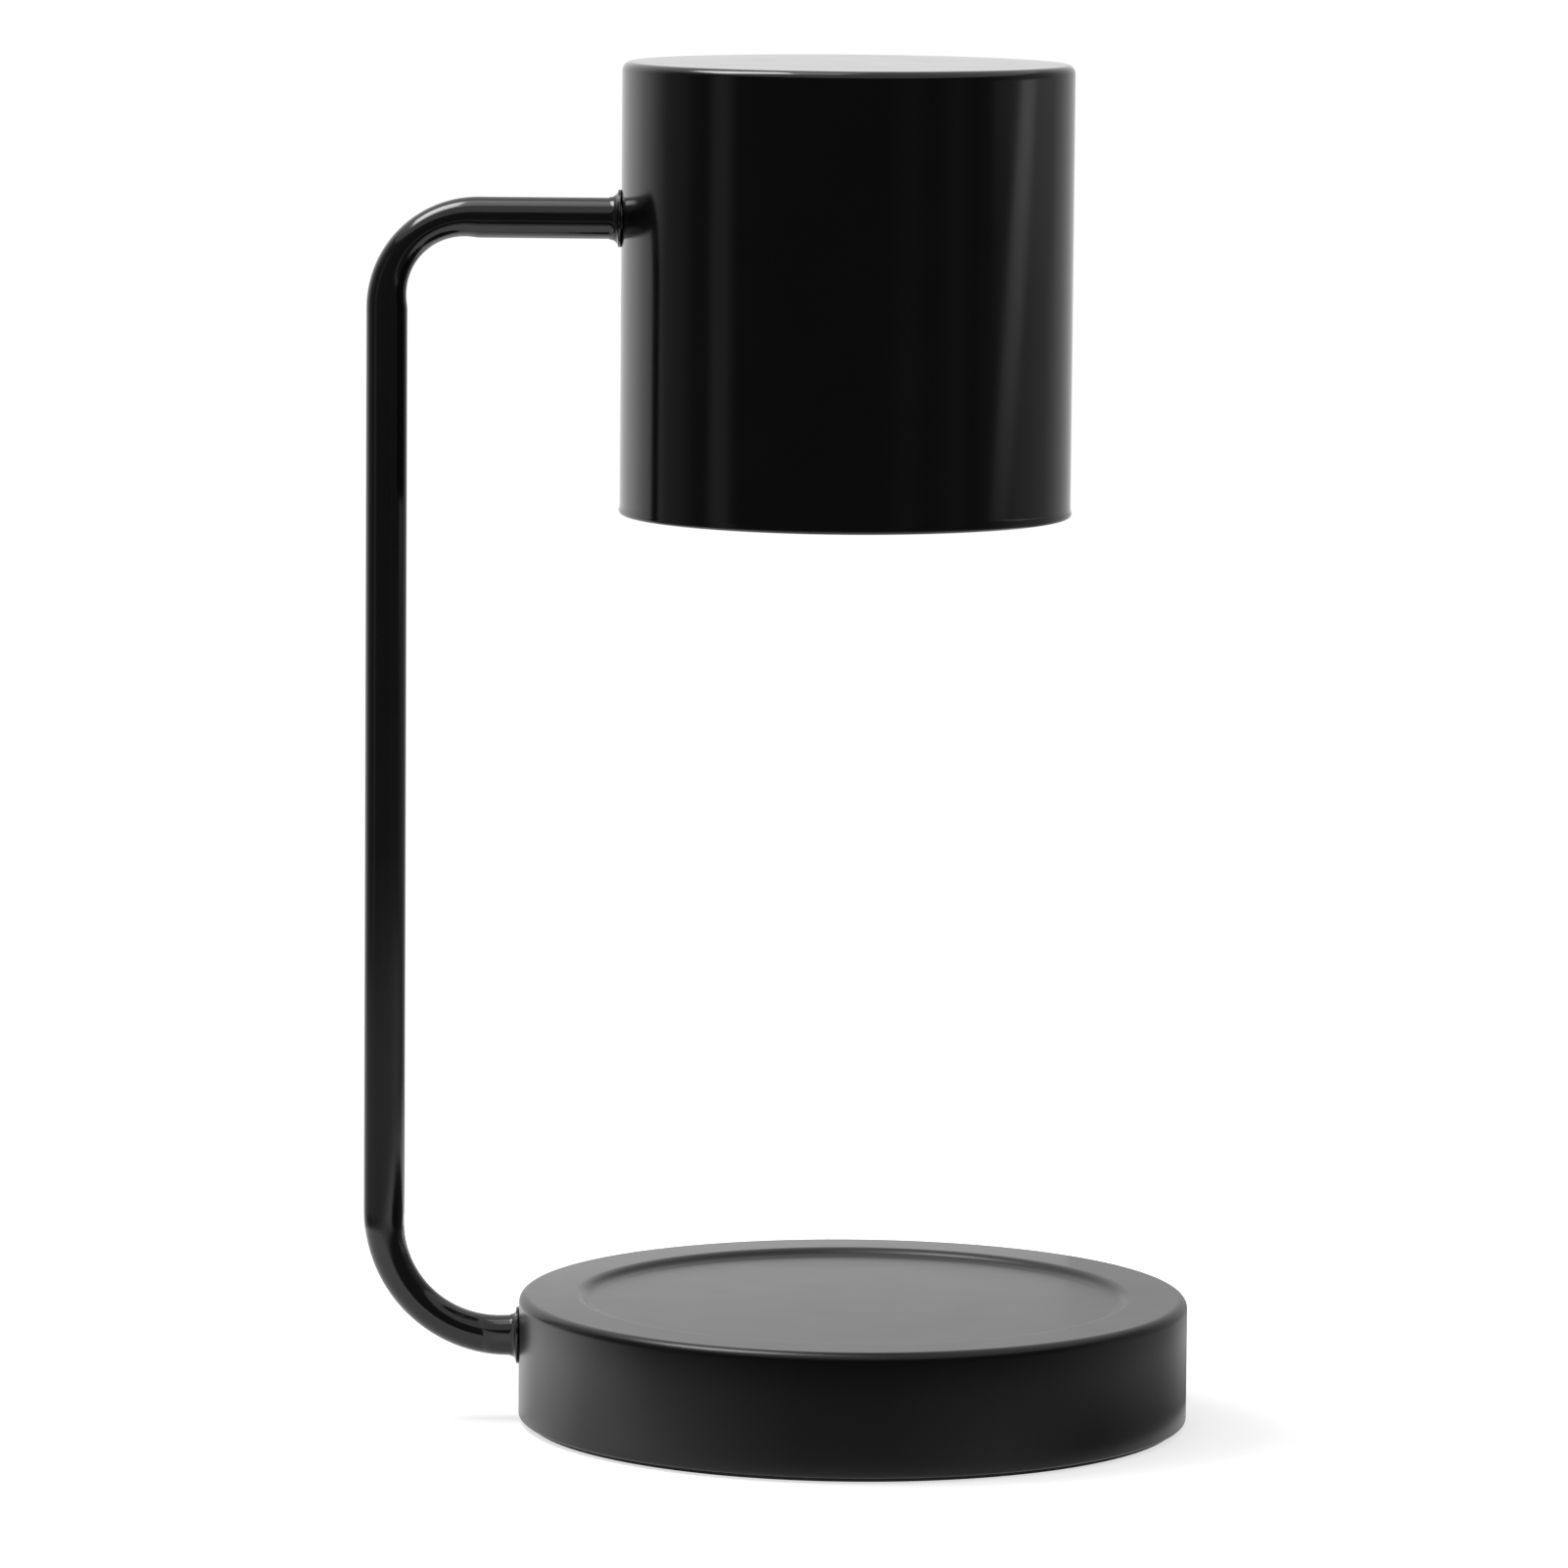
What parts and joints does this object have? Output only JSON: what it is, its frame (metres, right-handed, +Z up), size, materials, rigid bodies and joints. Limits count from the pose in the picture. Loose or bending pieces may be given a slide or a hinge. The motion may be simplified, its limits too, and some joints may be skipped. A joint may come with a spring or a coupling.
{
  "type": "candle warmer lamp",
  "caption": "Table lamp that melts a candle from above: round weighted base with a shallow recess, bent side pole and closed cylindrical shade with a downlight bulb in a twist-lock holder.",
  "frame": {"origin": "centre of the foam pad's resting face under the base, on the base's axis", "axes": "+Z up, +X from the pole towards the candle's far side (the pole stands at -X), +Y towards the rear wall with the cord inlet"},
  "size_m": [0.1849, 0.1518, 0.3042],
  "materials": {
    "black_coat": "gloss black powder coat on steel",
    "cast_iron": "rough casting",
    "zinc_steel": "bright zinc plate",
    "pin_steel": "nickel plate",
    "foam": "closed-cell foam",
    "rubber": "matte moulded rubber",
    "white_plastic": "moulded nylon",
    "black_plastic": "moulded nylon",
    "brass": "plain turned brass",
    "brown_lead": "heat-proof insulation",
    "blue_lead": "heat-proof insulation",
    "ceramic": "unglazed white ceramic",
    "reflector_glass": "faceted glass with a mirror layer",
    "clear_glass": "clear",
    "tungsten": "drawn wire"
  },
  "bodies": {
    "frame": {"base_shell": "black_coat", "base_weight": "cast_iron", "bottom_plate": "zinc_steel", "foot_pad": "foam", "base_screws": "zinc_steel", "cord_grommet": "rubber", "terminal_block": "white_plastic", "terminal_barrels": "brass", "terminal_screws": "zinc_steel", "block_screw": "zinc_steel", "pole_tube": "black_coat", "pole_collar_base": "black_coat", "pole_washer_base": "zinc_steel", "pole_nut_base": "zinc_steel", "tube_bush_base": "black_plastic", "pole_collar_top": "black_coat", "pole_washer_top": "zinc_steel", "pole_nut_top": "zinc_steel", "tube_bush_top": "black_plastic", "wire_live": "brown_lead", "wire_neutral": "blue_lead", "shade_shell": "black_coat", "holder_bracket": "zinc_steel", "holder_screws": "zinc_steel", "holder_nuts": "zinc_steel", "lamp_holder": "ceramic", "holder_contacts": "brass"},
    "bulb": {"bulb_base": "ceramic", "bulb_pins": "pin_steel", "bulb_reflector": "reflector_glass", "bulb_lens": "clear_glass", "bulb_capsule": "clear_glass", "bulb_filament": "tungsten"}
  },
  "joints": [
    {"name": "bulb_twist", "type": "hinge", "parent": "frame", "child": "bulb", "pos_m": [-0.0034, 0, 0.2717], "axis": [0, 0, 1], "range_deg": [-35, 0]}
  ]
}
